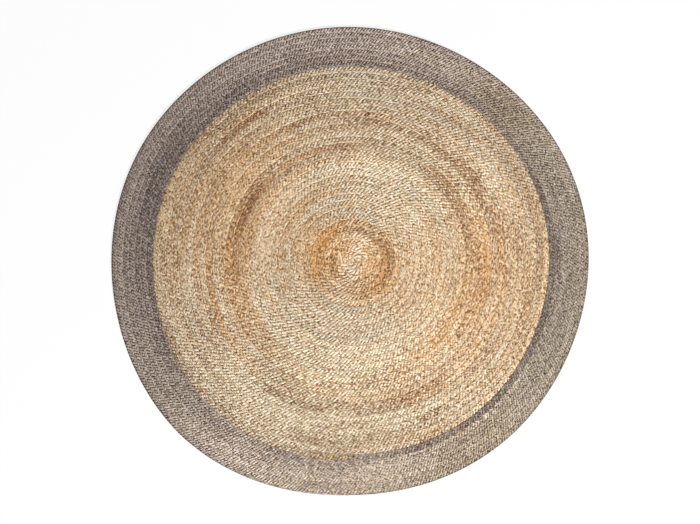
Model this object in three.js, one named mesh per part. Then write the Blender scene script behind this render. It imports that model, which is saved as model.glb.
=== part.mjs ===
// Round rug of braided hemp, about 1.5 m across and 10 mm thick.
// A long three-strand plait of natural hemp is coiled round its own start, the eye, and sewn row to row.
// A second plait, of grey yarn, is butted to its end and coiled on round it as the border.
// Each plait with all its turns is one sewn piece, so it is one solid here: flat below, with a
// rounded crown along every row and a shallow groove along every seam between two rows.
// Millimetres, +Z up. The origin is on the underside, in the middle of the rug's own box.

import * as THREE from 'three';

// Rows of the coil
const FIELD_TURNS = 31; // turns of the natural plait, from the eye to the border
const BORDER_TURNS = 7; // turns of the grey plait
const FIELD_ROW = 20.4; // width of one row of the natural plait
const BORDER_ROW = 18.1; // width of one row of the grey plait
const START_TURNS = 1 / 4; // the first part of a turn, folded in under the eye
const JOIN_ANGLE = THREE.MathUtils.degToRad(262); // direction in which the grey plait takes over
const TAIL_PAST_JOIN = 1 / 48; // part of a turn by which the grey plait's end runs on past that direction
const TAIL_TURNS = 1 / 8; // the last part of a turn, over which the end narrows to nothing

// Heights above the floor
const CROWN = 10; // top of every row
const SEAM = 7.2; // bottom of the groove between two rows
const RIM = 5; // widest line of the outer edge
const RIM_UNDERCUT = 3; // how far the foot of the outer edge lies inside that line
const SEAM_GAP = 0.3; // between the two plaits, all along the seam that joins them

// Handmade shape: the eye lies off the middle, and the outline is a little out of round.
const EYE_OFFSET = new THREE.Vector2(9, 5);
const WAVES = [
  { lobes: 2, height: 5, towards: 7 },
  { lobes: 3, height: 2.4, towards: 0 },
  { lobes: 4, height: 1.8, towards: 43 },
  { lobes: 5, height: 2.2, towards: 16 },
];

const STEPS = 48; // steps in one turn of the coil
const RUG_RADIUS = FIELD_TURNS * FIELD_ROW + (BORDER_TURNS - 0.5) * BORDER_ROW;
const FIRST_STEP = START_TURNS * STEPS;
const JOIN_STEP = FIELD_TURNS * STEPS;
const LAST_STEP = JOIN_STEP + (BORDER_TURNS + TAIL_PAST_JOIN) * STEPS;
const TAIL_STEPS = TAIL_TURNS * STEPS;

const NATURAL_HEMP = new THREE.MeshStandardMaterial({ color: 0xc8ab8a, roughness: 0.92, metalness: 0 });
const GREY_HEMP = new THREE.MeshStandardMaterial({ color: 0x97897c, roughness: 0.92, metalness: 0 });

// Points and triangles of one closed skin. A face whose corners coincide is left out.
class Skin {
  constructor() {
    this.places = [];
    this.faces = [];
  }

  point(place) {
    this.places.push(place);
    return this.places.length - 1;
  }

  triangle(a, b, c) {
    if (a !== b && b !== c && c !== a) {
      this.faces.push(a, b, c);
    }
  }

  quad(a, b, c, d) {
    this.triangle(a, b, c);
    this.triangle(a, c, d);
  }

  fan(first, ...others) {
    for (let i = 1; i < others.length; i += 1) {
      this.triangle(first, others[i - 1], others[i]);
    }
  }

  // Closes the underside between an outer ring of points and an inner one, which may be missing.
  underside(ring, hole) {
    const flat = (loop) => loop.map((i) => new THREE.Vector2(this.places[i].x, this.places[i].y));
    const corners = [...ring, ...hole];
    const holes = hole.length > 0 ? [flat(hole)] : [];
    for (const face of THREE.ShapeUtils.triangulateShape(flat(ring), holes)) {
      const [a, b, c] = face.map((i) => corners[i]);
      const turnsLeft = THREE.ShapeUtils.area(flat([a, b, c])) > 0;
      this.triangle(a, turnsLeft ? c : b, turnsLeft ? b : c);
    }
  }

  geometry() {
    const made = new THREE.BufferGeometry();
    made.setAttribute('position', new THREE.Float32BufferAttribute(this.places.flatMap((p) => p.toArray()), 3));
    made.setIndex(this.faces);
    made.computeVertexNormals();
    return made;
  }
}

// Distance from the eye to the outer edge of the row at this step of the coil.
function edgeRadius(step) {
  const turns = Math.max(step / STEPS, 0);
  const natural = Math.min(turns, FIELD_TURNS);
  return natural * FIELD_ROW + (turns - natural) * BORDER_ROW;
}

// A point on the rug: how far from the eye, at which step of the coil, and how high.
// Towards the edge the outline's waves grow, and the rings drift from the eye to the rug's middle.
function onRug(radius, step, height, sidestep = 0) {
  const angle = JOIN_ANGLE + (2 * Math.PI * step) / STEPS + sidestep / Math.max(radius, 1);
  const share = radius / RUG_RADIUS;
  let reach = radius;
  for (const { lobes, height: wave, towards } of WAVES) {
    reach += share * wave * Math.cos(lobes * (angle - THREE.MathUtils.degToRad(towards)));
  }
  const drift = 1 - share ** 3;
  const x = EYE_OFFSET.x * drift + reach * Math.cos(angle);
  const y = EYE_OFFSET.y * drift + reach * Math.sin(angle);
  return new THREE.Vector3(x, y, height);
}

// Share of its full width that the row has at this step: 1, falling to 0 along the tail.
function fullness(step) {
  return Math.min(1, (LAST_STEP - step) / TAIL_STEPS);
}

function crownPoint(step, sidestep = 0) {
  const inner = edgeRadius(step - STEPS);
  const half = (fullness(step) * (edgeRadius(step) - inner)) / 2;
  const height = SEAM + (CROWN - SEAM) * fullness(step);
  return onRug(inner + half, step, height, sidestep);
}

// The crowned rows from one step to another: each row reaches from the edge of the row inside it,
// one turn back, over its own crown to its own edge.
function layRows(skin, from, to, edges, crowns) {
  for (let i = from; i < to; i += 1) {
    const inner = edges(i - STEPS);
    const innerNext = edges(i + 1 - STEPS);
    skin.quad(inner, crowns(i), crowns(i + 1), innerNext);
    skin.quad(crowns(i), edges(i), edges(i + 1), crowns(i + 1));
  }
}

// The natural plait: a disc of rows, ending in the square face of the plait's cut end.
function naturalField() {
  const skin = new Skin();
  const eye = skin.point(onRug(0, 0, SEAM));
  const edge = new Map();
  const crown = new Map();
  const foot = new Map();
  for (let i = FIRST_STEP; i <= JOIN_STEP; i += 1) {
    const atEnd = i === JOIN_STEP || i === JOIN_STEP - STEPS;
    const atBorder = i >= JOIN_STEP - STEPS;
    const sidestep = atEnd ? -SEAM_GAP : 0;
    const radius = edgeRadius(i) - (atBorder ? SEAM_GAP : 0);
    edge.set(i, skin.point(onRug(radius, i, SEAM, sidestep)));
    crown.set(i, skin.point(crownPoint(i, i === JOIN_STEP ? sidestep : 0)));
    if (atBorder) {
      foot.set(i, skin.point(onRug(radius, i, 0, sidestep)));
    }
  }
  const edges = (i) => edge.get(i) ?? eye;
  const crowns = (i) => crown.get(i);
  layRows(skin, FIRST_STEP, JOIN_STEP, edges, crowns);
  skin.triangle(eye, edges(FIRST_STEP), crowns(FIRST_STEP));
  for (let i = JOIN_STEP - STEPS; i < JOIN_STEP; i += 1) {
    skin.quad(edges(i), foot.get(i), foot.get(i + 1), edges(i + 1));
  }
  const back = JOIN_STEP - STEPS;
  skin.fan(foot.get(back), edges(back), crowns(JOIN_STEP), edges(JOIN_STEP), foot.get(JOIN_STEP));
  skin.underside([...foot.values()], []);
  return skin.geometry();
}

// The grey plait: a ring of rows that starts with a square face and ends in a narrowing tail.
function greyBorder() {
  const skin = new Skin();
  const edge = new Map();
  const crown = new Map();
  const innerFoot = new Map();
  const outerFoot = new Map();
  const firstOuter = LAST_STEP - STEPS;
  for (let i = JOIN_STEP - STEPS; i < LAST_STEP; i += 1) {
    const inner = edgeRadius(i - STEPS);
    const tapers = i > JOIN_STEP;
    const radius = tapers ? inner + fullness(i) * (edgeRadius(i) - inner) : edgeRadius(i);
    edge.set(i, skin.point(onRug(radius, i, i >= firstOuter ? RIM : SEAM)));
    if (i <= JOIN_STEP) {
      innerFoot.set(i, skin.point(onRug(radius, i, 0)));
    }
    if (i >= firstOuter) {
      outerFoot.set(i, skin.point(onRug(radius - RIM_UNDERCUT, i, 0)));
    }
    if (i >= JOIN_STEP) {
      crown.set(i, skin.point(crownPoint(i)));
    }
  }
  const closing = edge.get(firstOuter);
  const edges = (i) => edge.get(i) ?? closing;
  const crowns = (i) => crown.get(i) ?? closing;
  layRows(skin, JOIN_STEP, LAST_STEP, edges, crowns);
  for (let i = JOIN_STEP - STEPS; i < JOIN_STEP; i += 1) {
    skin.quad(edges(i), edges(i + 1), innerFoot.get(i + 1), innerFoot.get(i));
  }
  for (let i = firstOuter; i < LAST_STEP; i += 1) {
    const next = outerFoot.get(i + 1) ?? outerFoot.get(firstOuter);
    skin.quad(edges(i), outerFoot.get(i), next, edges(i + 1));
  }
  const back = JOIN_STEP - STEPS;
  const startFace = [innerFoot.get(JOIN_STEP), edges(JOIN_STEP), crowns(JOIN_STEP), edges(back)];
  skin.fan(innerFoot.get(back), ...startFace);
  skin.underside([...outerFoot.values()], [...innerFoot.values()]);
  return skin.geometry();
}

function piece(name, geometry, material) {
  const mesh = new THREE.Mesh(geometry, material);
  mesh.name = name;
  return mesh;
}

const rug = new THREE.Group();
rug.add(piece('field', naturalField(), NATURAL_HEMP));
rug.add(piece('border', greyBorder(), GREY_HEMP));

const middle = new THREE.Box3().setFromObject(rug).getCenter(new THREE.Vector3());
rug.position.set(-middle.x, -middle.y, 0);

export default rug;
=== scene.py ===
"""Round rug of braided hemp: a natural plait coiled round its own start, then a grey plait as the border.

Each plait is worked out as one long closed skin that follows the coil, with the arms of its three strands
where they cross each other. Metres, +Z up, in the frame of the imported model.
"""

import math

import bpy
import numpy as np
from bpy.props import FloatProperty, FloatVectorProperty, IntProperty, PointerProperty
from bpy.types import Operator, Panel, PropertyGroup
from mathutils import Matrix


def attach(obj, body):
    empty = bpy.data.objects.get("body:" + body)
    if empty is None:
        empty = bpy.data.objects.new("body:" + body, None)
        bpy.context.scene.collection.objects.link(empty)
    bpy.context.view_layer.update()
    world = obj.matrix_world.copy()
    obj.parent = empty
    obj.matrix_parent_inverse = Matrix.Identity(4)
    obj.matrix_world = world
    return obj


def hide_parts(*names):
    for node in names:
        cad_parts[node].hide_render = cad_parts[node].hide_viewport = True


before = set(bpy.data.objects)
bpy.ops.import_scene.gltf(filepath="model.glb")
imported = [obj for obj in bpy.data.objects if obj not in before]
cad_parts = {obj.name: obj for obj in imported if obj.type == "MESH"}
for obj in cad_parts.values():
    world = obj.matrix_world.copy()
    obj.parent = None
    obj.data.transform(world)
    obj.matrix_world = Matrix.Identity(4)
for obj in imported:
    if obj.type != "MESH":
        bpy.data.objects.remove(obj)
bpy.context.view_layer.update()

bl_info = {
    "name": "Braided Round Rug",
    "version": (1, 0, 0),
    "blender": (4, 5, 0),
    "location": "3D View > Sidebar > Rug",
    "description": "Coils three-strand plaits of natural and grey hemp into a round rug",
    "category": "Add Mesh",
}

# ---------------------------------------------------------------------------------------------
# The coil
# ---------------------------------------------------------------------------------------------
FIELD_TURNS = 31
BORDER_TURNS = 7
FIELD_ROW = 0.0204
BORDER_ROW = 0.0181
START_TURN = 1 / 4
JOIN_ANGLE = math.radians(262)
TAIL_TURNS = 1 / 8
LAST_TURN = FIELD_TURNS + BORDER_TURNS + 1 / 48
TAIL_END = 0.02  # width left at the tip of the tail, as a share of a row
RUG_RADIUS = FIELD_TURNS * FIELD_ROW + (BORDER_TURNS - 0.5) * BORDER_ROW
EYE_OFFSET = (0.009, 0.005)
CAD_STEPS = 48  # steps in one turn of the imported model's coil

# Handmade outline: number of waves round the rug, their height, the direction of a crest
OUTLINE_WAVES = (
    (2, 0.0050, math.radians(7)),
    (3, 0.0024, math.radians(0)),
    (4, 0.0018, math.radians(43)),
    (5, 0.0022, math.radians(16)),
)


def edge_radius(turns):
    """Distance from the eye to the outer edge of a row.

    One natural row's width for each turn, then one grey row's for each turn past the last natural one.
    """
    turns = np.maximum(turns, 0)
    natural = np.minimum(turns, FIELD_TURNS)
    return natural * FIELD_ROW + (turns - natural) * BORDER_ROW


def row_at(turns):
    """Middle and half width of the row.

    It lies between the edge of the row inside it, one turn back, and its own edge. Over the tail it narrows
    to nothing, keeping to the row inside it.
    """
    inner = edge_radius(turns - 1)
    full = np.clip((LAST_TURN - turns) / TAIL_TURNS, TAIL_END, 1)
    half = full * (edge_radius(turns) - inner) / 2
    return inner + half, half


def coil_place(radius, turns):
    """X and Y of a point this far from the eye at this turn of the coil.

    Each outline wave adds its height times the cosine of its phase, in proportion to the distance out. The
    eye's offset fades out as that distance cubed.
    """
    angle = JOIN_ANGLE + 2 * math.pi * turns
    share = radius / RUG_RADIUS
    reach = radius + share * sum(
        height * np.cos(waves * (angle - towards))
        for waves, height, towards in OUTLINE_WAVES
    )
    drift = 1 - share**3
    return (
        EYE_OFFSET[0] * drift + reach * np.cos(angle),
        EYE_OFFSET[1] * drift + reach * np.sin(angle),
    )


def coil_middle():
    """Middle of the outline's box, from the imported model's own steps of the last turn.

    The rug is laid with it on the origin.
    """
    turns = LAST_TURN - 1 + np.arange(CAD_STEPS) / CAD_STEPS
    middle, half = row_at(turns)
    corners = np.array(coil_place(middle + half, turns))
    return (corners.min(axis=1) + corners.max(axis=1)) / 2


COIL_MIDDLE = coil_middle()


def eased(share):
    """S-shaped curve from 0 to 1: three times the square less twice the cube."""
    return share * share * (3 - 2 * share)


def smooth_noise(at, spacing, rng):
    """Random heights every spacing along a line, with a normal spread, joined by an S-shaped curve."""
    knots = rng.standard_normal(int(np.max(at) / spacing) + 3)
    place = np.maximum(at, 0) / spacing
    low = np.floor(place).astype(int)
    ease = eased(place - low)
    return knots[low] * (1 - ease) + knots[low + 1] * ease


def patchy_noise(turns, angle, rows, sectors, rng):
    """Random heights on rings this many rows apart, in this many sectors, so that patches lie along the rows.

    They are joined by S-shaped curves both ways.
    """
    knots = rng.standard_normal((int(np.max(turns) / rows) + 3, sectors))
    up, along = turns / rows, (angle / (2 * math.pi) % 1) * sectors
    i, j = np.floor(up).astype(int), np.floor(along).astype(int) % sectors
    a, b = eased(up - np.floor(up)), eased(along - np.floor(along))
    k = (j + 1) % sectors
    near = knots[i, j] * (1 - b) + knots[i, k] * b
    far = knots[i + 1, j] * (1 - b) + knots[i + 1, k] * b
    return near * (1 - a) + far * a


# ---------------------------------------------------------------------------------------------
# The plait
# ---------------------------------------------------------------------------------------------
# Each lobe shows two arms of strand: one from the outer edge, one from the inner edge. Both run
# forward along the plait until they meet at the crossing line, where they tuck under each other.
SLANT = 0.76  # lobes by which an arm runs forward for each half width it crosses
CROSSING = -0.42  # where the crossing line lies, in half widths from the middle towards the outer edge
CROSSING_SPREAD = 0.10  # how much that varies along the plait
TIP = 0.30  # how far an arm's tip reaches past the crossing line before it is buried
CREASE_DEPTH = 0.98  # how deep the crease between two arms is cut: at 1 it reaches the plait's middle
RIDGE_POWER = 4  # power of an arm's own cross-section: 2 is a half circle, more is flatter on top
ROUNDING = 12  # power of the plait's rounded outline: 2 is a circle, more is flatter
SCALLOP = 0.06  # how far the edge draws in between two arms, in half widths
ARM_SPREAD = 0.05  # how much lower an arm may lie than the highest
UNEVEN = 0.06  # how far a lobe's start may be out of place, in lobes
LOBE_ROWS = (0, 0.12, 0.38, 0.5, 0.62, 0.88)  # grid rows in a lobe, closest at its two creases
SQUARE_END = 2  # lobes over which the grid turns square to the plait's ends
# Grid points across the row, in half widths: over the top from the inner edge, then back underneath
TOP_PLACES = (-1, -0.85, -0.42, -0.1, 0.25, 0.6, 0.88, 1)
UNDER_PLACES = (0.4, -0.5)
PLACES = TOP_PLACES + UNDER_PLACES
UNDER_BEAT = 0.25  # lobes by which the arms underneath are out of step with those on top
SHEET_LIMIT = 30  # a stretch's greatest length, in metres
END_LOBES = 40  # lobes in from each end of a stretch at which its width is measured
EYE_HOLE = 0.0002  # least distance of a point from the eye, so that the first row doesn't cross it
COIL_SAMPLES = 60001  # points at which a plait's length along the coil is added up
KNOT_STEP = 1.5  # lobes between two changes of the crossing line
FIBRE_SHIFT = 0.0371  # metres by which the fibres' pattern moves on from one arm to the next
# Painted shade: a mask that darkens the creases, the seams at each row's edge and the rug's rim
FULL_SHADE_DEPTH = 0.8  # how far below the plait's outline a crease takes the full painted shade
EDGE_SHADE, EDGE_POWER = 0.1, 8  # least painted shade at a row's edge, along the seam, and how fast it fades inwards
RIM_SHADE = 0.9  # painted shade at the rug's own edge, which turns away from the light
RIM_START = 0.4  # where that begins, in half widths

# Handmade fullness: waves round the rug, how much deeper the creases are on a crest, and its direction
FULLNESS_WAVES = (
    (1, 0.12, math.radians(247)),
    (2, 0.16, math.radians(67)),
)


class Plait:
    """A plait laid on the coil from one turn to another and counted in lobes.

    A lobe is as long as asked, apart from what makes their number whole and a handmade unevenness.
    """

    def __init__(self, first, last, lobe, relief, seed):
        turns = np.linspace(first, last, COIL_SAMPLES)
        middle, _ = row_at(turns)
        around = 2 * math.pi * np.diff(turns) * (middle[1:] + middle[:-1]) / 2
        step = np.hypot(np.diff(middle), around)
        self.turns = turns
        self.relief = relief
        self.way = np.concatenate(([0], np.cumsum(step)))
        self.lobes = round(self.way[-1] / lobe)
        self.lobe = self.way[-1] / self.lobes
        rng = np.random.default_rng(seed)
        self.uneven = rng.uniform(-UNEVEN, UNEVEN, self.lobes + 1)
        self.uneven[[0, -1]] = 0
        self.knot_lobes = np.arange(0, self.lobes + 3, KNOT_STEP)
        wander = rng.uniform(-1, 1, len(self.knot_lobes))
        self.crossings = CROSSING + CROSSING_SPREAD * wander
        self.arm_heights = 1 - ARM_SPREAD * rng.uniform(0, 1, 2 * self.lobes + 8)

    def way_at(self, lobes):
        """Metres along the plait: the lobes times their length, each boundary shifted by its unevenness."""
        shift = np.interp(lobes, np.arange(self.lobes + 1), self.uneven)
        return (lobes + shift) * self.lobe

    def turns_at(self, lobes):
        """Turn of the coil at this lobe, read back from the length laid."""
        return np.interp(self.way_at(lobes), self.way, self.turns)

    def crossing_at(self, lobes):
        """Place of the crossing line at this lobe, which wanders from knot to knot."""
        return np.interp(lobes, self.knot_lobes, self.crossings)


def rounded_edge(place):
    """Height of the plait's own outline across the row, 0 to 1.

    The square root of one less the place raised to the rounding's power.
    """
    return np.sqrt(np.maximum(1 - np.abs(place) ** ROUNDING, 0))


def arm_faces(plait, beat, place, crossing):
    """Heights of the two families of arms, 0 to 1, and the number of the arm in each.

    The beat is the lobe at which an arm's middle line meets the crossing line: whole for the arms from the
    outer edge, and halfway between for those from the inner edge. Across, an arm's height is the square root
    of one less the crease's depth times the way from its middle, as a share of half its width, raised to the
    ridge's power. It sinks beyond the crossing line as a sine, and rounds off towards its own edge.
    """
    rounded = rounded_edge(place)
    heights, numbers = [], []
    for side, offset in ((1, 0.0), (-1, 0.5)):
        count = np.round(beat - offset)
        aside = beat - offset - count
        ridge = np.sqrt(1 - CREASE_DEPTH * np.abs(2 * aside) ** RIDGE_POWER)
        beyond = np.clip(((place - crossing) * side + TIP) / TIP, 0, 1)
        number = (2 * count + 2 * offset).astype(int)
        size = plait.arm_heights[np.clip(number, 0, len(plait.arm_heights) - 1)]
        heights.append(rounded * ridge * size * np.sin(beyond * math.pi / 2))
        numbers.append(number)
    return np.stack(heights), np.stack(numbers)


def plait_grid(plait, first, last):
    """Beats, places across and lobes for a grid over one stretch of the plait.

    Its rows follow the arms: from each edge forward to the crossing line. Each row goes over the top from the
    inner edge to the outer one and back underneath. Towards the plait's ends the rows turn square to it.
    """
    across = np.array(PLACES, float)
    beat = (np.arange(first, last)[:, None] + np.array(LOBE_ROWS)).ravel()
    beat = np.append(beat, last)
    crossing = plait.crossing_at(beat)[:, None]
    place = across + (crossing - CROSSING) * (1 - across**2)
    full = np.clip(np.minimum(beat, plait.lobes - beat) / SQUARE_END, 0, 1)[:, None]
    reach = 1 - CROSSING
    lean = SLANT * (reach / 2 - np.abs(place - crossing))
    lobes = beat[:, None] + lean * full
    return beat[:, None] + 0 * place, place, lobes, crossing + 0 * place


def plait_skin(plait, first, last, sizes):
    """Points of one stretch of the plait, with where each lies on it.

    Across the row a point lies at its place times the row's half width and overlap, drawn in between two
    arms. Its height is half the thickness, plus or minus half the thickness times its rise. The rise is the
    plait's rounded outline less the depth by which the arms sink below it, which is the relief times the
    fullness: one, plus each fullness wave's depth times the cosine of its phase. Where the row narrows, both
    shrink with the square root of its width.
    """
    beat, place, lobes, crossing = plait_grid(plait, first, last)
    turns = plait.turns_at(lobes)
    middle, half = row_at(turns)
    under = np.arange(place.shape[1]) >= len(TOP_PLACES)
    heights, _ = arm_faces(plait, beat + UNDER_BEAT * under, place, crossing)
    height = heights.max(axis=0)
    rounded = rounded_edge(place)
    # Painted shade: deeper in the creases, with a least amount at the row's edges and more on the rug's rim
    shade_mask = np.clip((rounded - height) / FULL_SHADE_DEPTH, 0, 1) ** 2
    rim = (turns > LAST_TURN - 1) * np.clip((place - RIM_START) / (1 - RIM_START), 0, 1)
    edge = np.maximum(EDGE_SHADE * np.abs(place) ** EDGE_POWER, RIM_SHADE * rim)
    shade_mask = np.maximum(shade_mask, edge)
    facing = np.where(under, -1, 1)
    angle = JOIN_ANGLE + 2 * math.pi * turns
    swell = (depth * np.cos(waves * (angle - towards)) for waves, depth, towards in FULLNESS_WAVES)
    thinned = np.minimum(2 * half / BORDER_ROW, 1) ** 0.5
    sunk = plait.relief * sum(swell, start=1) * thinned
    rise = np.where(rounded > 0, 1 - sunk * (rounded - height) - (1 - rounded), 0)
    z = sizes.thickness / 2 * (1 + facing * np.clip(rise * thinned, 0, 1))
    offset = np.where(place > crossing, 0.0, 0.5)
    drawn = 1 - SCALLOP * np.sin(math.pi * (beat - offset)) ** 2 * np.abs(place)
    outermost = (turns > LAST_TURN - 1) & (place > 0)
    overlap = np.where(outermost, SCALLOP / 2 * half, sizes.overlap)
    radius = middle + place * drawn * (half + overlap)
    x, y = coil_place(np.maximum(radius, EYE_HOLE), turns)
    points = np.stack([x - COIL_MIDDLE[0], y - COIL_MIDDLE[1], z], axis=-1)
    laid = np.stack([plait.way_at(lobes), radius, place], axis=-1)
    return points, laid, beat, place, crossing, half, shade_mask


def skin_faces(rows, ring):
    """Quads between neighbouring rows of a closed tube, facing outwards, and a face on each end."""
    i, j = np.meshgrid(np.arange(rows - 1), np.arange(ring), indexing="ij")
    k = (j + 1) % ring
    quads = np.stack([i * ring + j, i * ring + k, (i + 1) * ring + k, (i + 1) * ring + j], axis=-1)
    start = np.arange(ring)[::-1]
    end = (rows - 1) * ring + np.arange(ring)
    return quads.reshape(-1, 4), start, end


def plait_mesh(name, plait, first, last, sizes, arms):
    """One stretch of a plait as a closed mesh, with what its yarn needs.

    That is the map 'yarn' with metres along and across the arm that shows, the tones of each arm, a mask of
    painted shade from how deep each point lies in the creases, its row's edges and the rug's rim, and its
    place
    on the row: metres along, metres from the eye and half widths across.
    """
    points, laid, beat, place, crossing, half, shade_mask = plait_skin(plait, first, last, sizes)
    rows, ring = beat.shape
    quads, start, end = skin_faces(rows, ring)
    counts = np.concatenate([np.full(len(quads), 4), [ring, ring]])
    corners = np.concatenate([quads.ravel(), start, end])
    mesh = bpy.data.meshes.new(name)
    mesh.vertices.add(rows * ring)
    mesh.vertices.foreach_set("co", points.reshape(-1).astype(np.float32))
    mesh.loops.add(len(corners))
    mesh.loops.foreach_set("vertex_index", corners.astype(np.int32))
    mesh.polygons.add(len(counts))
    mesh.polygons.foreach_set(
        "loop_start", np.concatenate([[0], np.cumsum(counts)[:-1]]).astype(np.int32)
    )
    mesh.update(calc_edges=True)

    # Which arm each quad shows, and where its corners lie on that arm
    at, over, cross, wide = (v.ravel()[quads] for v in (beat, place, crossing, half))
    heights, numbers = arm_faces(plait, at.mean(axis=1), over.mean(axis=1), cross.mean(axis=1))
    shown = heights.argmax(axis=0)
    number = np.take_along_axis(numbers, shown[None, :], axis=0)[0]
    side = np.where(shown == 0, 1, -1)[:, None]
    arm_length = np.hypot(wide, SLANT * plait.lobe)
    ahead = (over - cross) * side * arm_length + number[:, None] * FIBRE_SHIFT
    beside = (at - number[:, None] / 2) * plait.lobe * wide / arm_length
    yarn = np.zeros((len(corners), 2), np.float32)
    yarn[: quads.size] = np.stack([ahead.ravel(), beside.ravel()], axis=1)
    mesh.uv_layers.new(name="yarn").data.foreach_set("uv", yarn.ravel())
    arm = np.clip(number, 0, len(arms) - 1)
    face_arm = np.concatenate([arm, arm[:1], arm[-1:]])
    tones = mesh.attributes.new("tones", "FLOAT_VECTOR", "FACE")
    tones.data.foreach_set("vector", arms[face_arm, :3].astype(np.float32).ravel())
    dyed = mesh.attributes.new("other_yarn", "FLOAT", "FACE")
    dyed.data.foreach_set("value", arms[face_arm, 3].astype(np.float32))
    # Painted shade: how much each point is darkened, from the mask worked out with its place
    deep = mesh.attributes.new("shade_mask", "FLOAT", "POINT")
    deep.data.foreach_set("value", shade_mask.ravel().astype(np.float32))
    row = mesh.attributes.new("row", "FLOAT_VECTOR", "POINT")
    row.data.foreach_set("vector", laid.ravel().astype(np.float32))

    # Creases stay crisp: the edges along each family's crease rows are sharp
    edges = np.empty(2 * len(mesh.edges), np.int32)
    mesh.edges.foreach_get("vertices", edges)
    a, b = edges.reshape(-1, 2).T
    across = np.array(PLACES, float)
    outer = (across[a % ring] + across[b % ring]) / 2 > CROSSING
    grid_row = a // ring % len(LOBE_ROWS)
    crease = np.where(outer, grid_row == len(LOBE_ROWS) // 2, grid_row == 0)
    on_top = (a % ring < len(TOP_PLACES)) & (b % ring < len(TOP_PLACES))
    sharp = (a // ring == b // ring) & crease & on_top
    mesh.attributes.new("sharp_edge", "BOOLEAN", "EDGE").data.foreach_set("value", sharp)

    top = np.tile(np.arange(ring) < len(TOP_PLACES) - 1, rows - 1)
    bake_map(mesh, points.reshape(-1, 3), corners, np.concatenate([top, [True, True]]), counts)
    mesh.validate()
    return mesh


def bake_map(mesh, points, corners, on_top, counts):
    """A map seen from above for baked colours.

    The top faces fill the square, and the underside, smaller, lies in the ring's hole, or in the far corner
    where the piece has no hole.
    """
    reach = np.hypot(points[:, 0], points[:, 1])
    outer, hole = reach.max(), reach.min()
    if hole > outer / 2:
        top_scale, top_middle = 0.495, 0.5
        low_scale, low_middle = 0.48 * hole / outer, 0.5
    else:
        top_scale, top_middle = 0.42, 0.422
        low_scale, low_middle = 0.155, 0.843
    top = np.repeat(on_top, counts)
    at = points[corners, :2] / outer
    places = np.where(top[:, None], top_middle + top_scale * at, low_middle + low_scale * at)
    mesh.uv_layers.new(name="OFBake").data.foreach_set("uv", places.astype(np.float32).ravel())


# ---------------------------------------------------------------------------------------------
# The yarn's tones
# ---------------------------------------------------------------------------------------------
# Natural plait, by turn from the eye: lightness, share of ochre, share of russet flecks
FIELD_BANDS = (
    (0.0, 1.12, 0.00, 0.00),
    (2.0, 1.10, 0.12, 0.03),
    (2.6, 1.07, 0.36, 0.12),
    (3.1, 1.04, 0.56, 0.17),
    (4.5, 1.08, 0.54, 0.14),
    (7.0, 1.08, 0.66, 0.15),
    (7.5, 1.04, 0.36, 0.09),
    (9.0, 1.02, 0.21, 0.06),
    (11.3, 1.02, 0.28, 0.08),
    (13.5, 1.04, 0.20, 0.05),
    (15.5, 1.10, 0.07, 0.03),
    (16.6, 1.06, 0.24, 0.12),
    (18.5, 1.05, 0.33, 0.19),
    (19.4, 1.05, 0.37, 0.21),
    (20.4, 1.08, 0.29, 0.15),
    (22.0, 1.05, 0.28, 0.17),
    (22.8, 1.04, 0.32, 0.22),
    (24.0, 1.03, 0.30, 0.21),
    (24.6, 1.02, 0.22, 0.16),
    (27.0, 0.97, 0.13, 0.15),
    (29.0, 0.93, 0.15, 0.16),
    (31.0, 0.92, 0.22, 0.16),
)
# Grey plait, by turn: lightness, share of beige, share of mauve
BORDER_BANDS = (
    (31.0, 1.07, 0.20, 0.50),
    (32.5, 1.12, 0.25, 0.30),
    (34.0, 1.12, 0.32, 0.15),
    (36.0, 1.22, 0.32, 0.08),
    (38.0, 1.10, 0.25, 0.10),
)
# Patches of the natural plait: turn and direction of the middle, reach in turns and in degrees,
# then how much the lightness, the share of ochre and the share of russet change there
FIELD_PATCHES = (
    (4.5, 5, 2.2, 30, 0.00, 0.06, 0.03),
    (4.5, 160, 2.2, 50, 0.00, 0.10, 0.06),
    (4.5, 310, 2.2, 30, 0.00, 0.06, 0.04),
    (6.0, 250, 3.0, 25, 0.03, -0.16, -0.06),
    (6.5, 60, 2.5, 25, 0.00, -0.12, -0.06),
    (15.5, 258, 3.0, 35, 0.04, -0.14, -0.05),
    (18.5, 165, 1.8, 40, -0.03, 0.10, 0.06),
    (18.0, 100, 1.6, 28, -0.03, 0.04, 0.04),
    (19.0, 345, 1.2, 30, 0.00, 0.12, 0.00),
    (18.5, 250, 1.5, 30, 0.10, -0.08, -0.08),
    (23.0, 150, 1.2, 45, -0.02, 0.08, 0.05),
    (23.0, 272, 0.7, 22, 0.00, 0.08, 0.02),
    (23.0, 292, 1.0, 20, 0.12, 0.00, -0.08),
    (23.0, 335, 1.0, 25, -0.06, 0.06, 0.04),
    (22.8, 38, 0.7, 28, -0.02, 0.06, 0.05),
    (21.0, 252, 1.0, 22, 0.10, -0.04, -0.08),
    (19.8, 65, 1.2, 28, 0.06, -0.02, -0.05),
    (27.5, 115, 1.2, 25, 0.06, 0.00, 0.00),
    (27.5, 135, 2.5, 30, 0.02, 0.06, 0.10),
    (28.0, 245, 3.0, 20, 0.06, -0.20, -0.08),
    (25.5, 268, 2.2, 42, 0.08, -0.04, -0.04),
    (28.5, 335, 2.0, 25, -0.04, 0.08, 0.05),
    (28.5, 78, 2.2, 18, 0.00, -0.12, 0.00),
    (30.7, 263, 0.4, 5, -0.10, 0.34, 0.05),
)
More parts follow.
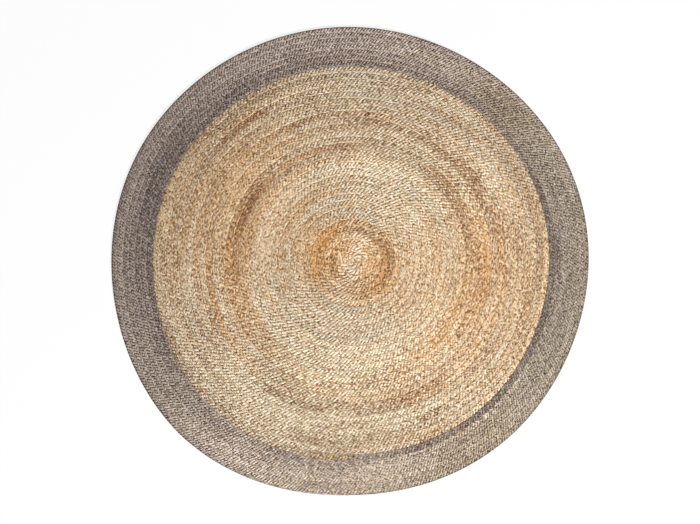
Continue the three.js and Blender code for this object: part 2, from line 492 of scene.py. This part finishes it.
# Patches of the grey plait: the same, then lightness, beige, mauve and natural fibres mixed in
BORDER_PATCHES = (
    (34.0, 46, 3.2, 11, -0.32, 0.30, 0.00, 0.25),
    (34.0, 303, 3.2, 13, -0.16, 0.12, 0.00, 0.16),
    (33.0, 160, 2.2, 40, -0.08, -0.20, 0.20, 0.00),
    (34.0, 237, 3.5, 7, 0.12, -0.10, -0.10, 0.00),
    (34.5, 280, 3.5, 9, 0.08, 0.00, -0.10, 0.04),
    (31.7, 305, 0.9, 55, 0.13, 0.00, -0.15, 0.00),
    (31.7, 222, 1.0, 16, -0.14, 0.00, 0.05, 0.00),
    (34.4, 20, 0.9, 35, -0.12, 0.00, 0.06, 0.00),
    (37.4, 330, 1.2, 38, -0.09, -0.05, 0.05, 0.00),
)
# Direction to which each strand of the grey plait is still natural, past the join
SPLICES = tuple(map(math.radians, (271, 268, 265)))
SPLICED_LIGHT = 0.64  # lightness of those natural strands, so that they match the last natural row
FRAYING = 0.35  # how much a patch's strength varies from arm to arm
INNER_ARMS = 0.6  # how much the arms from the inner edge vary, as a share of those from the outer one
UP, DOWN = 0.75, 1.25  # how far an arm's lightness reaches up and down, as a share of its spread
LIGHT_FROM = 306  # direction that the light comes from, in degrees


def patch_sums(patches, turns, angle, rng):
    """Sum of the patches' changes at every arm.

    Each patch fades out as a bell curve over its reach, along the rows and from row to row, and its edges are
    frayed.
    """
    total = 0
    fray = 1 + FRAYING * rng.standard_normal(len(turns))
    for turn, direction, rows, degrees, *changes in patches:
        away = np.degrees(angle) - direction
        away = (away + 180) % 360 - 180
        bell = np.exp(-(((turns - 0.5 - turn) / rows) ** 2) - (away / degrees) ** 2)
        total = total + np.outer(changes, bell * fray)
    return total


def arm_places(plait):
    """Turn, direction, metres along and strand of every arm of the plait.

    Arms follow each other every half lobe, from strand to strand.
    """
    number = np.arange(2 * plait.lobes + 4)
    turns = plait.turns_at(np.minimum(number / 2, plait.lobes))
    return turns, JOIN_ANGLE + 2 * math.pi * turns, number / 2 * plait.lobe, (number + 1) % 3


def strand_noise(way, strand, spacing, rng):
    """Smooth noise along the plait, with its own run for each strand."""
    runs = np.stack([smooth_noise(way, spacing, rng) for _ in range(3)])
    return np.take_along_axis(runs, strand[None, :], axis=0)[0]


def spread_down(size, rng, count):
    """A spread from arm to arm that reaches further down than up.

    Every second arm starts at the outer edge and varies most.
    """
    spread = rng.standard_normal(count)
    size = size * np.where(np.arange(count) % 2 == 0, 1.0, INNER_ARMS)
    return size * np.where(spread > 0, UP * spread, DOWN * spread)


def swing(angle, size, towards, waves=1):
    """A slow change round the rug: the size times the cosine of the way from its crest, in degrees."""
    return size * np.cos(waves * (angle - math.radians(towards)))


def natural_arms(plait, seed):
    """Tones of every arm of the natural plait: lightness, share of ochre, share of russet, other yarn.

    They come from the band it lies in, with slow changes along the plait and in patches along the rows, and a
    spread from arm to arm. Painted light is added too: the arms are lighter towards the lamp, and a painted
    sheen takes ochre out in the two directions where the light falls across the arms.
    """
    rng = np.random.default_rng(seed)
    turns, angle, way, strand = arm_places(plait)
    light, ochre, russet = (np.interp(turns, *band) for band in band_columns(FIELD_BANDS))
    light = light * (1 + swing(angle, 0.04, 75))
    # Painted light: lighter towards the lamp, the more so the further out
    light = light * (1 + swing(angle, 0.13 * turns / FIELD_TURNS, LIGHT_FROM))
    # Painted sheen: less ochre, so paler, where the light falls across the arms, at 72 degrees and opposite
    ochre = ochre - swing(angle, 0.18, 72, waves=2)
    ochre = ochre - swing(angle, 0.04, 255)
    light *= np.exp(
        0.055 * smooth_noise(way, spacing=0.30, rng=rng)
        + 0.03 * patchy_noise(turns, angle, rows=2.0, sectors=9, rng=rng)
        + 0.03 * strand_noise(way, strand, spacing=0.05, rng=rng)
        + spread_down(0.035, rng, len(turns))
    )
    ochre = ochre + 0.11 * smooth_noise(way, spacing=0.35, rng=rng)
    ochre += 0.05 * patchy_noise(turns, angle, rows=2.0, sectors=9, rng=rng)
    ochre += 0.10 * strand_noise(way, strand, spacing=0.16, rng=rng) + 0.08 * rng.standard_normal(len(turns))
    russet = russet * (
        1
        + 0.8 * smooth_noise(way, spacing=0.18, rng=rng)
        + 0.8 * strand_noise(way, strand, spacing=0.07, rng=rng)
    )
    lighter, warmer, browner = patch_sums(FIELD_PATCHES, turns, angle, rng)
    light, ochre, russet = light * (1 + lighter), ochre + warmer, russet + browner
    other = np.zeros(len(turns))
    return np.stack([light, np.clip(ochre, 0, 1), np.clip(russet, 0, 1), other], axis=1)


def grey_arms(plait, seed):
    """Tones of every arm of the grey plait, in the same way: lightness, beige, mauve, natural yarn."""
    rng = np.random.default_rng(seed)
    turns, angle, way, strand = arm_places(plait)
    light, beige, mauve = (np.interp(turns, *band) for band in band_columns(BORDER_BANDS))
    # Painted sheen: lighter where the light falls across the arms, at 76 degrees and opposite
    light = light * (1 + swing(angle, 0.19, 76, waves=2))
    # Painted light: lighter towards the lamp
    light = light * (1 + swing(angle, 0.14, LIGHT_FROM))
    beige = beige + swing(angle, 0.30, 325)
    light *= np.exp(
        0.09 * smooth_noise(way, spacing=0.35, rng=rng)
        + 0.04 * strand_noise(way, strand, spacing=0.05, rng=rng)
        + spread_down(0.05, rng, len(turns))
    )
    beige = beige + 0.15 * patchy_noise(turns, angle, rows=1.5, sectors=11, rng=rng)
    beige += 0.12 * strand_noise(way, strand, spacing=0.12, rng=rng) + 0.12 * rng.standard_normal(len(turns))
    mauve = mauve + 0.15 * strand_noise(way, strand, spacing=0.10, rng=rng)
    lighter, warmer, darker, other = patch_sums(BORDER_PATCHES, turns, angle, rng)
    light, beige, mauve = light * (1 + lighter), beige + warmer, mauve + darker
    spliced = angle - 2 * math.pi * FIELD_TURNS < np.array(SPLICES)[strand]
    light = light * np.where(spliced, SPLICED_LIGHT, 1)
    other = np.where(spliced, 1, np.clip(other, 0, 1))
    return np.stack([light, np.clip(beige, 0, 1), np.clip(mauve, 0, 1), other], axis=1)


def band_columns(bands):
    """(turns, values) for each tone of a table of bands."""
    turns, *columns = (np.array(column) for column in zip(*bands))
    return [(turns, column) for column in columns]


# ---------------------------------------------------------------------------------------------
# Materials
# ---------------------------------------------------------------------------------------------
# Noises, as changes of tone a metre along and across a strand or a row, with the noise's detail
FINE_FIBRES = (70, 1200, 1.0)
PLIES = (60, 700, 1.0)
# LINES and SPOTS place painted shade in the seams, along the crossing line and in small gaps
LINES = (75, 150, 0.0)
SPOTS = (125, 300, 0.0)
FLECKS = (85, 260, 1.0)
RUNS = (40, 165, 1.0)
TUFTS = (390, 420)  # cells a metre along and across a row
FRINGE = 0.014  # metres by which a patch's end moves for a full step of the fibres' noise
# Where each curve of tone starts and ends
SEAM = (0.62, 0.82)  # in half widths from the row's middle
PARTING = (0.05, 0.20)  # in half widths from the crossing line
LINE_NOISE = (0.52, 0.66)
SPOT_NOISE = (0.26, 0.38)
FLECK_NOISE = (0.60, 0.78)
# How much further each of them reaches where the yarn is wholly russet
STREAKED_LINES, STREAKED_SPOTS, STREAKED_FLECKS = 0.25, 0.12, 0.45
LINE_STRENGTH = 0.45  # how dark the lines' painted shade is, as a share of the spots'
FLECK_STRENGTH = 0.75  # how far a fleck's colour replaces the yarn's own
OTHER_WARMTH = 0.6  # how far the other plait's yarn, where it shows here, is of its warmer colour
BRIGHTEST_TUFT = 0.10  # how much lighter than its arm a tuft may be
SHADES = (0.12, 1.06)  # the darkest and the lightest shade of a fibre


class Number:
    """A number in a node tree. Arithmetic on it adds Math nodes."""

    def __init__(self, shader, socket):
        self.shader, self.socket = shader, socket

    def __add__(self, other):
        return self.shader.math("ADD", self, other)

    def __sub__(self, other):
        return self.shader.math("SUBTRACT", self, other)

    def __rsub__(self, other):
        return self.shader.math("SUBTRACT", other, self)

    def __mul__(self, other):
        return self.shader.math("MULTIPLY", self, other)

    def __pow__(self, other):
        return self.shader.math("POWER", self, other)

    __radd__ = __add__
    __rmul__ = __mul__


class Shader:
    """A material's nodes, ending in one Principled surface."""

    def __init__(self, name):
        self.material = bpy.data.materials.new(name)
        self.material.use_nodes = True
        self.tree = self.material.node_tree
        self.surface = self.tree.nodes["Principled BSDF"]

    def link(self, value, socket):
        """Joins a number or a socket to this socket, or sets it to a constant."""
        value = value.socket if isinstance(value, Number) else value
        if isinstance(value, bpy.types.NodeSocket):
            self.tree.links.new(value, socket)
        else:
            socket.default_value = value

    def node(self, kind, settings=None, inputs=None):
        """A node of this kind: its settings first, then the values or links of its sockets."""
        made = self.tree.nodes.new(kind)
        for key, value in (settings or {}).items():
            setattr(made, key, value)
        for key, value in (inputs or {}).items():
            self.link(value, made.inputs[key])
        return made

    def number(self, kind, output, settings=None, inputs=None):
        """One output of a new node, as a number."""
        return Number(self, self.node(kind, settings, inputs).outputs[output])

    def math(self, operation, *values):
        """A Math node on these values."""
        return self.number("ShaderNodeMath", 0, {"operation": operation}, dict(enumerate(values)))

    def attribute(self, name, output):
        """One output of the mesh's own attribute of this name."""
        settings = {"attribute_type": "GEOMETRY", "attribute_name": name}
        return self.node("ShaderNodeAttribute", settings).outputs[output]

    def mapped(self, at, scale):
        """The place at, stretched by the scale."""
        settings = {"vector_type": "POINT"}
        return self.node("ShaderNodeMapping", settings, {0: at, "Scale": scale}).outputs[0]

    def noise(self, at, frequencies):
        """Noise of these frequencies along and across, and this detail."""
        along, across, detail = frequencies
        at = self.mapped(at, (along, across, 1))
        inputs = {"Vector": at, "Scale": 1.0, "Detail": detail, "Roughness": 0.6}
        return self.number("ShaderNodeTexNoise", 0, {"noise_dimensions": "2D"}, inputs)

    def mix(self, factor, first, second):
        """From the first colour to the second, as the factor goes from 0 to 1."""
        first, second = (
            colour if isinstance(colour, bpy.types.NodeSocket) else (*colour, 1)
            for colour in (first, second)
        )
        inputs = {"Factor": factor, 6: first, 7: second}
        return self.node("ShaderNodeMix", {"data_type": "RGBA"}, inputs).outputs[2]

    def vector(self, operation, inputs):
        """Vector Math on colours or places."""
        return self.node("ShaderNodeVectorMath", {"operation": operation}, inputs).outputs[0]

    def spread(self, value, low, high):
        """0 below low, 1 above high, and an S-shaped curve between."""
        settings = {"interpolation_type": "SMOOTHSTEP"}
        inputs = {"Value": value, "From Min": low, "From Max": high}
        return self.number("ShaderNodeMapRange", "Result", settings, inputs)


def hemp(name, tones, other_tones):
    """Strands of dry hemp.

    Each arm's tones come with the mesh. Along each strand run fibres, lighter and darker, some of them
    russet. Tufts and runs of fibre differ along the rows, and painted shade darkens the creases, the seams,
    the rug's rim and small gaps.
    """
    shader = Shader(name)
    tone = shader.node("ShaderNodeSeparateXYZ", None, {0: shader.attribute("tones", "Vector")})
    light, warm, streaked = (Number(shader, tone.outputs[i]) for i in range(3))
    shade_mask = Number(shader, shader.attribute("shade_mask", "Fac"))
    other = Number(shader, shader.attribute("other_yarn", "Fac"))
    yarn = shader.node("ShaderNodeUVMap", {"uv_map": "yarn"}).outputs[0]
    row = shader.attribute("row", "Vector")
    across = shader.number("ShaderNodeSeparateXYZ", 2, None, {0: row})

    # Patches of tone end in a fringe, since fibres next to each other end in different places
    fine = shader.noise(yarn, FINE_FIBRES)
    plies = shader.noise(yarn, PLIES)
    fringe = (plies * 0.6 + fine * 0.4 - 0.5) * FRINGE
    fringe = shader.node("ShaderNodeCombineXYZ", None, {0: fringe, 1: fringe * 0.6}).outputs[0]
    frayed = shader.vector("ADD", {0: row, 1: fringe})

    # Tufts and runs of fibre, each of its own tone
    inputs = {"Vector": shader.mapped(frayed, (*TUFTS, 1)), "Scale": 1.0}
    cells = shader.node("ShaderNodeTexVoronoi", {"voronoi_dimensions": "2D"}, inputs)
    tufts = shader.number("ShaderNodeSeparateXYZ", 0, None, {0: cells.outputs["Color"]})
    runs = shader.noise(row, RUNS)
    uneven = (tufts - 0.5) * tones.tufts + (runs - 0.5) * tones.runs

    # Painted shade in the gaps: small spots, and lines along the seams and the crossing line
    seam = shader.spread(shader.math("ABSOLUTE", across), *SEAM)
    parting = 1 - shader.spread(shader.math("ABSOLUTE", across - CROSSING), *PARTING)
    lines = shader.math("MAXIMUM", seam, parting)
    lines = lines * shader.spread(shader.noise(frayed, LINES) + streaked * STREAKED_LINES, *LINE_NOISE)
    spots = shader.noise(frayed, SPOTS) - streaked * STREAKED_SPOTS
    spots = 1 - shader.spread(spots, *SPOT_NOISE)
    gaps = shader.math("MAXIMUM", spots, lines * LINE_STRENGTH)

    base = shader.mix(warm, tones.main, tones.warm)
    fleck = shader.spread(shader.noise(frayed, FLECKS) + streaked * STREAKED_FLECKS, *FLECK_NOISE)
    base = shader.mix(fleck * FLECK_STRENGTH, base, tones.fleck)
    other_base = shader.mix(OTHER_WARMTH, other_tones.main, other_tones.warm)
    base = shader.mix(other, base, other_base)
    shade = 0.30 + plies * 0.80 + fine * 0.60
    shade = shade * (1 + shader.math("MINIMUM", uneven, BRIGHTEST_TUFT))
    # Painted shade: the mask darkens the creases, the row's edges and the rug's rim, and the gaps add more
    shade = shade * (1 - shade_mask * tones.painted_shade) * (1 - gaps * tones.gaps)
    darkest, lightest = SHADES
    shade = shader.math("MAXIMUM", shader.math("MINIMUM", shade, lightest), darkest)
    # Dark parts are deeper in colour, as the light there has passed from fibre to fibre
    green, blue = shade ** (1 + tones.depth), shade ** (1 + 3 * tones.depth)
    shades = shader.node("ShaderNodeCombineXYZ", None, {0: shade, 1: green, 2: blue}).outputs[0]
    lit = shader.vector("SCALE", {0: base, "Scale": light})
    surface = shader.surface.inputs
    shader.link(shader.vector("MULTIPLY", {0: lit, 1: shades}), surface["Base Color"])
    shader.link(0.60 + plies * 0.25, surface["Roughness"])
    inputs = {"Strength": 0.6, "Distance": 0.0012, "Height": plies * 0.7 + fine * 0.3}
    shader.link(shader.node("ShaderNodeBump", None, inputs).outputs[0], surface["Normal"])
    surface["Specular IOR Level"].default_value = 0.35
    surface["Sheen Weight"].default_value = 0.08
    surface["Sheen Roughness"].default_value = 0.6
    return shader.material


# ---------------------------------------------------------------------------------------------
# Sizes and colours that a user would change
# ---------------------------------------------------------------------------------------------
def linear(red, green, blue):
    """A screen colour, 0 to 255, as the linear colour that the nodes take."""
    screen = np.array([red, green, blue]) / 255
    values = np.where(screen > 0.04045, ((screen + 0.055) / 1.055) ** 2.4, screen / 12.92)
    return tuple(map(float, values))


def colour(name, description, screen):
    return FloatVectorProperty(
        name=name,
        description=description,
        subtype="COLOR",
        size=3,
        min=0,
        max=1,
        default=linear(*screen),
    )


def length(name, description, metres):
    return FloatProperty(
        name=name, description=description, default=metres, min=0, unit="LENGTH", precision=4
    )


def factor(name, description, value, highest=6):
    return FloatProperty(
        name=name, description=description, default=value, min=0, max=highest, subtype="FACTOR"
    )


class RugSizes(PropertyGroup):
    natural_lobe: length("Natural lobe", "Length of one scallop of the natural plait", 0.0117)
    grey_lobe: length("Grey lobe", "Length of one scallop of the grey plait", 0.0098)
    natural_relief: factor("Natural relief", "Depth of the natural plait's creases", 0.9, 1)
    grey_relief: factor("Grey relief", "Depth of the grey plait's creases", 1.0, 1)
    thickness: length("Thickness", "Thickness of the plait from floor to crown", 0.010)
    overlap: length("Overlap", "How far each row presses into the next, per side", 0.0021)
    natural_stretches: IntProperty(
        name="Natural stretches", description="Pieces of the natural plait", default=4, min=1
    )
    grey_stretches: IntProperty(
        name="Grey stretches", description="Pieces of the grey plait", default=2, min=1
    )
    seed: IntProperty(name="Seed", description="Seed of the handmade unevenness", default=11)


class NaturalTones(PropertyGroup):
    main: colour("Straw", "Pale straw fibres", (244, 230, 206))
    warm: colour("Ochre", "Ochre fibres", (229, 181, 121))
    fleck: colour("Russet", "Reddish brown fibres", (150, 98, 60))
    tufts: factor("Tufts", "How much tufts of fibre differ in tone", 1.05)
    runs: factor("Runs", "How much runs of fibre along the rows differ in tone", 0.4)
    # Painted shade in the small gaps between fibres, along the seams and the crossing line
    gaps: factor("Gaps", "How dark the small gaps between fibres are", 0.76, 1)
    # Painted shade at the bottom of the creases, at the row's edges and on the rug's rim
    painted_shade: factor("Creases", "How much darker the bottom of the creases is", 0.12, 1)
    depth: factor("Depth", "How much deeper in colour the dark parts are", 0.38, 1)


class GreyTones(PropertyGroup):
    main: colour("Grey", "Warm grey fibres", (190, 174, 167))
    warm: colour("Beige", "Beige fibres among the grey", (191, 179, 157))
    fleck: colour("Mauve", "Dark mauve-grey fibres", (118, 104, 102))
    tufts: factor("Tufts", "How much tufts of fibre differ in tone", 1.15)
    runs: factor("Runs", "How much runs of fibre along the rows differ in tone", 0.9)
    # Painted shade in the small gaps between fibres, along the seams and the crossing line
    gaps: factor("Gaps", "How dark the small gaps between fibres are", 0.88, 1)
    # Painted shade at the bottom of the creases, at the row's edges and on the rug's rim
    painted_shade: factor("Creases", "How much darker the bottom of the creases is", 0.95, 1)
    depth: factor("Depth", "How much deeper in colour the dark parts are", 0.17, 1)


FLOOR_REACH = 15.0  # metres from the middle to the floor's edge
FLOOR_SHADOW = 0.15  # share of the floor's white that takes shadow
LAMP_ELEVATION = math.radians(45)
LAMP_DISTANCE = 12.0
LAMP_WIDTH = 1.75
VIEW_WIDTH = 2.2127  # metres of floor across the camera's view
VIEW_MIDDLE = -0.0032  # how far the view's middle lies from the rug's, up the view
SENSOR_WIDTH = 36  # millimetres


class RugStudio(PropertyGroup):
    key: FloatProperty(
        name="Key light", description="Share of the light that comes from the lamp", default=0.99, min=0
    )
    fill: FloatProperty(
        name="Fill light", description="Share of the light that comes from all round", default=0.05, min=0
    )
    camera_height: length("Camera height", "Height of the camera above the floor", 6.0)


# ---------------------------------------------------------------------------------------------
# Pieces
# ---------------------------------------------------------------------------------------------
def lay_stretches(plait, stretches, name, material, node, sizes, arms):
    """Puts the plait in the scene, cut into stretches of equal lobes.

    A stretch longer than the greatest length raises an error. The cuts keep each
    stretch no longer than a sheet may be.
    """
    cuts = np.round(np.linspace(0, plait.lobes, stretches + 1)).astype(int)
    for number in range(stretches):
        first, last = int(cuts[number]), int(cuts[number + 1])
        title = f"{name}_{number + 1}"
        mesh = plait_mesh(title, plait, first, last, sizes, arms)
        mesh.materials.append(material)
        piece = bpy.data.objects.new(title, mesh)
        bpy.context.scene.collection.objects.link(piece)
        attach(piece, "root")
        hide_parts(node)
        stretch = (last - first) * plait.lobe
        if stretch > SHEET_LIMIT:
            raise ValueError(f"{title} is {stretch:.1f} m long, so it needs more stretches")
        ends = (first + END_LOBES, last - END_LOBES)
        low, high = (row_at(plait.turns_at(float(at)))[1] for at in ends)
        width = float(low + high) + 2 * sizes.overlap


class RUG_OT_natural_plait(Operator):
    """Coils the natural plait, from the eye to the border"""

    bl_idname = "rug.natural_plait"
    bl_label = "Natural Plait"

    def execute(self, context):
        scene = context.scene
        sizes = scene.rug_sizes
        plait = Plait(START_TURN, FIELD_TURNS, sizes.natural_lobe, sizes.natural_relief, sizes.seed)
        material = hemp("natural_hemp", scene.rug_natural, scene.rug_grey)
        arms = natural_arms(plait, sizes.seed + 1)
        lay_stretches(
            plait,
            sizes.natural_stretches,
            "natural_plait",
            material,
            "field",
            sizes,
            arms,
        )
        return {"FINISHED"}


class RUG_OT_grey_plait(Operator):
    """Coils the grey plait round the natural one, as the border"""

    bl_idname = "rug.grey_plait"
    bl_label = "Grey Plait"

    def execute(self, context):
        scene = context.scene
        sizes = scene.rug_sizes
        plait = Plait(FIELD_TURNS, LAST_TURN, sizes.grey_lobe, sizes.grey_relief, sizes.seed + 2)
        material = hemp("grey_hemp", scene.rug_grey, scene.rug_natural)
        arms = grey_arms(plait, sizes.seed + 3)
        lay_stretches(
            plait, sizes.grey_stretches, "grey_plait", material, "border", sizes, arms
        )
        return {"FINISHED"}


class RUG_OT_stage(Operator):
    """Adds the floor, the light and the camera"""

    bl_idname = "rug.stage"
    bl_label = "Stage"

    def execute(self, context):
        scene = context.scene
        studio = scene.rug_studio
        self.add_floor(scene)
        self.add_world(scene, studio)
        self.add_key(scene, studio)
        self.add_camera(scene, studio)
        scene.view_settings.view_transform = "Standard"
        return {"FINISHED"}

    def add_floor(self, scene):
        mesh = bpy.data.meshes.new("rug_floor")
        reach = FLOOR_REACH
        corners = [(-reach, -reach, 0), (reach, -reach, 0), (reach, reach, 0), (-reach, reach, 0)]
        mesh.from_pydata(corners, [], [(0, 1, 2, 3)])
        shader = Shader("pale_floor")
        shader.surface.inputs["Base Color"].default_value = (0.8, 0.8, 0.8, 1)
        shader.surface.inputs["Roughness"].default_value = 0.9
        shader.surface.inputs["Specular IOR Level"].default_value = 0
        path = shader.node("ShaderNodeLightPath").outputs
        seen = shader.math("MAXIMUM", path["Is Camera Ray"], path["Is Glossy Ray"])
        seen = shader.math("MAXIMUM", seen, path["Is Transmission Ray"])
        glow = shader.node("ShaderNodeEmission", None, {"Color": (1, 1, 1, 1), "Strength": 1.0})
        chalk = shader.node("ShaderNodeBsdfDiffuse", None, {"Color": (1, 1, 1, 1)})
        inputs = {0: FLOOR_SHADOW, 1: glow.outputs[0], 2: chalk.outputs[0]}
        white = shader.node("ShaderNodeMixShader", None, inputs)
        inputs = {0: seen, 1: shader.surface.outputs[0], 2: white.outputs[0]}
        both = shader.node("ShaderNodeMixShader", None, inputs)
        output = shader.tree.nodes["Material Output"]
        shader.link(both.outputs[0], output.inputs["Surface"])
        mesh.materials.append(shader.material)
        floor = bpy.data.objects.new("rug_floor", mesh)
        scene.collection.objects.link(floor)

    def add_world(self, scene, studio):
        world = bpy.data.worlds.new("studio")
        world.use_nodes = True
        nodes, links = world.node_tree.nodes, world.node_tree.links
        nodes.clear()
        path = nodes.new("ShaderNodeLightPath")
        seen = nodes.new("ShaderNodeMath")
        seen.operation = "MAXIMUM"
        links.new(path.outputs["Is Camera Ray"], seen.inputs[0])
        links.new(path.outputs["Is Glossy Ray"], seen.inputs[1])
        backgrounds = []
        for strength in (studio.fill, 1.0):
            node = nodes.new("ShaderNodeBackground")
            node.inputs["Color"].default_value = (1, 1, 1, 1)
            node.inputs["Strength"].default_value = strength
            backgrounds.append(node)
        mix = nodes.new("ShaderNodeMixShader")
        output = nodes.new("ShaderNodeOutputWorld")
        links.new(seen.outputs[0], mix.inputs[0])
        links.new(backgrounds[0].outputs[0], mix.inputs[1])
        links.new(backgrounds[1].outputs[0], mix.inputs[2])
        links.new(mix.outputs[0], output.inputs["Surface"])
        scene.world = world

    def add_key(self, scene, studio):
        """A wide lamp from the front right.

        A flat round lamp of power P that faces a point at distance d lights it with P / (pi d squared), and
        the floor there with the sine of the elevation times that. A white floor then sends 1 / pi of it each
        way, so the power that makes the floor as bright as asked is pi squared d squared over that sine.
        """
        direction, elevation, distance = math.radians(LIGHT_FROM), LAMP_ELEVATION, LAMP_DISTANCE
        lamp = bpy.data.lights.new("key", "AREA")
        lamp.shape = "DISK"
        lamp.size = LAMP_WIDTH
        lamp.energy = studio.key * math.pi**2 * distance**2 / math.sin(elevation)
        key = bpy.data.objects.new("key", lamp)
        flat, high = distance * math.cos(elevation), distance * math.sin(elevation)
        key.location = (flat * math.cos(direction), flat * math.sin(direction), high)
        key.rotation_euler = (math.pi / 2 - elevation, 0, direction + math.pi / 2)
        scene.collection.objects.link(key)

    def add_camera(self, scene, studio):
        """Straight above. The lens is the sensor's width times the height, over the view's width."""
        eye = bpy.data.cameras.new("camera")
        eye.sensor_width = SENSOR_WIDTH
        eye.lens = SENSOR_WIDTH * studio.camera_height / VIEW_WIDTH
        camera = bpy.data.objects.new("camera", eye)
        camera.location = (0, VIEW_MIDDLE, studio.camera_height)
        scene.collection.objects.link(camera)
        scene.camera = camera


class RUG_PT_panel(Panel):
    """Sidebar panel of the rug"""

    bl_label = "Braided Round Rug"
    bl_idname = "RUG_PT_panel"
    bl_space_type = "VIEW_3D"
    bl_region_type = "UI"
    bl_category = "Rug"

    def draw(self, context):
        layout = self.layout
        for group in (name for name, _ in GROUPS):
            box = layout.box()
            settings = getattr(context.scene, group)
            for name in settings.bl_rna.properties.keys():
                if name not in ("rna_type", "name"):
                    box.prop(settings, name)
        for operator in OPERATORS:
            layout.operator(operator.bl_idname)


GROUPS = (
    ("rug_sizes", RugSizes),
    ("rug_natural", NaturalTones),
    ("rug_grey", GreyTones),
    ("rug_studio", RugStudio),
)
OPERATORS = (RUG_OT_stage, RUG_OT_natural_plait, RUG_OT_grey_plait)


def register():
    for name, group in GROUPS:
        bpy.utils.register_class(group)
        setattr(bpy.types.Scene, name, PointerProperty(type=group))
    for made in (*OPERATORS, RUG_PT_panel):
        bpy.utils.register_class(made)


def unregister():
    for made in (RUG_PT_panel, *reversed(OPERATORS)):
        bpy.utils.unregister_class(made)
    for name, group in reversed(GROUPS):
        delattr(bpy.types.Scene, name)
        bpy.utils.unregister_class(group)


def main():
    register()
    bpy.ops.rug.stage()
    bpy.ops.rug.natural_plait()
    bpy.ops.rug.grey_plait()
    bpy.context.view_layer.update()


if __name__ == "__main__":
    main()
